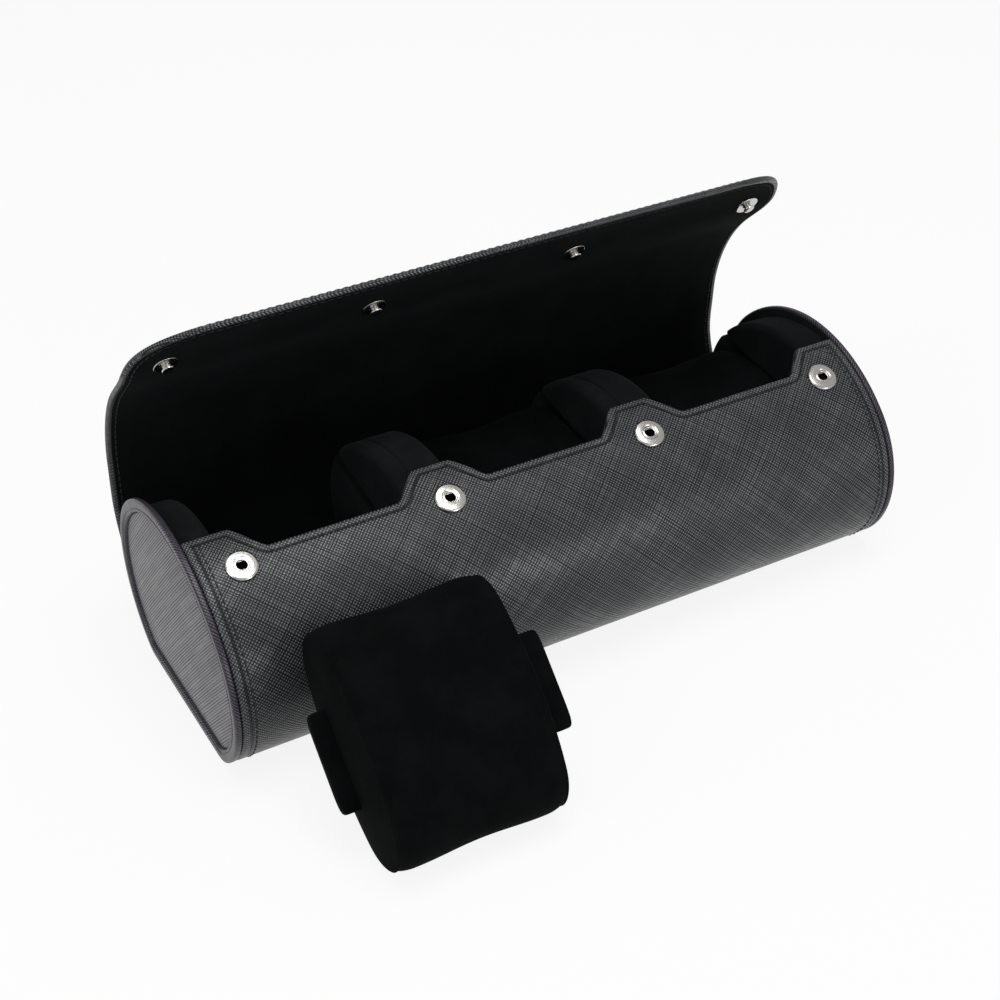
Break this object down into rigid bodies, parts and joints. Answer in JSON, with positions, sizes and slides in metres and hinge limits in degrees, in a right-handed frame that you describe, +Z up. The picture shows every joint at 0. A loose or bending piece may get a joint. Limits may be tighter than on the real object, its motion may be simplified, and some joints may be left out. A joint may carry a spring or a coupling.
{
  "type": "watch travel case",
  "caption": "D-shaped leather watch roll with suede cushions in compartments and a wide flap closed by press studs, shown open with one cushion taken out.",
  "frame": {"origin": "middle of the case's flat bottom, on the table", "axes": "+X along the roll to its right end, +Y to the back where the flap is joined, +Z up"},
  "size_m": [0.2374, 0.1684, 0.125],
  "materials": {
    "saffiano": "fine crosshatch grain, satin",
    "end_leather": "fine crosshatch grain, satin",
    "greyboard": "pressed board, matt",
    "lining_suede": "short suede nap",
    "block_suede": "short suede nap over foam",
    "cushion_suede": "short suede nap",
    "foam": "soft foam",
    "nickel": "polished nickel plate"
  },
  "bodies": {
    "case": {"divider_left": "block_suede", "divider_right": "block_suede", "end_block_left": "block_suede", "end_block_right": "block_suede", "end_board_left": "greyboard", "end_board_right": "greyboard", "end_panel_left": "end_leather", "end_panel_right": "end_leather", "end_rim_left": "end_leather", "end_rim_right": "end_leather", "snap_sockets": "nickel", "snap_springs": "nickel", "snap_washers": "nickel", "wrap_board": "greyboard", "wrap_leather": "saffiano", "wrap_lining": "lining_suede"},
    "back_panel": {"back_board": "greyboard", "back_leather": "saffiano", "back_lining": "lining_suede"},
    "lid": {"lid_board": "greyboard", "lid_leather": "saffiano", "lid_lining": "lining_suede"},
    "lip": {"lip_board": "greyboard", "lip_leather": "saffiano", "lip_lining": "lining_suede", "snap_caps": "nickel", "snap_studs": "nickel"},
    "cushion_left": {"cushion_left_cover": "cushion_suede", "cushion_left_end_left": "cushion_suede", "cushion_left_end_right": "cushion_suede", "cushion_left_foam": "foam", "cushion_left_wing_left": "cushion_suede", "cushion_left_wing_right": "cushion_suede"},
    "cushion_middle": {"cushion_middle_cover": "cushion_suede", "cushion_middle_end_left": "cushion_suede", "cushion_middle_end_right": "cushion_suede", "cushion_middle_foam": "foam", "cushion_middle_wing_left": "cushion_suede", "cushion_middle_wing_right": "cushion_suede"},
    "cushion_right": {"cushion_right_cover": "cushion_suede", "cushion_right_end_left": "cushion_suede", "cushion_right_end_right": "cushion_suede", "cushion_right_foam": "foam", "cushion_right_wing_left": "cushion_suede", "cushion_right_wing_right": "cushion_suede"}
  },
  "joints": [
    {"name": "back_hinge", "type": "hinge", "parent": "case", "child": "back_panel", "pos_m": [0, 0.04344, 0.013], "axis": [1, 0, 0], "range_deg": [-25, 31]},
    {"name": "lid_crease", "type": "hinge", "parent": "back_panel", "child": "lid", "pos_m": [0, 0.06014, 0.05016], "axis": [1, 0, 0], "range_deg": [-9, 11]},
    {"name": "lip_crease", "type": "hinge", "parent": "lid", "child": "lip", "pos_m": [0, 0.02926, 0.10236], "axis": [1, 0, 0], "range_deg": [-20, 41.8]},
    {"name": "cushion_middle_slide", "type": "slide", "parent": "case", "child": "cushion_middle", "axis": [0, 0.9816, 0.1908], "range_m": [0, 0.0055]},
    {"name": "cushion_right_slide", "type": "slide", "parent": "case", "child": "cushion_right", "axis": [0, 0.9816, 0.1908], "range_m": [0, 0.0055]},
    {"name": "cushion_left_lift", "type": "slide", "parent": "case", "child": "cushion_left", "axis": [0, 0, 1], "range_m": [0, 0.06]}
  ],
  "couplings": [
    {"joint": "lid_crease", "follows": "back_hinge", "ratio": 0.3548}
  ]
}
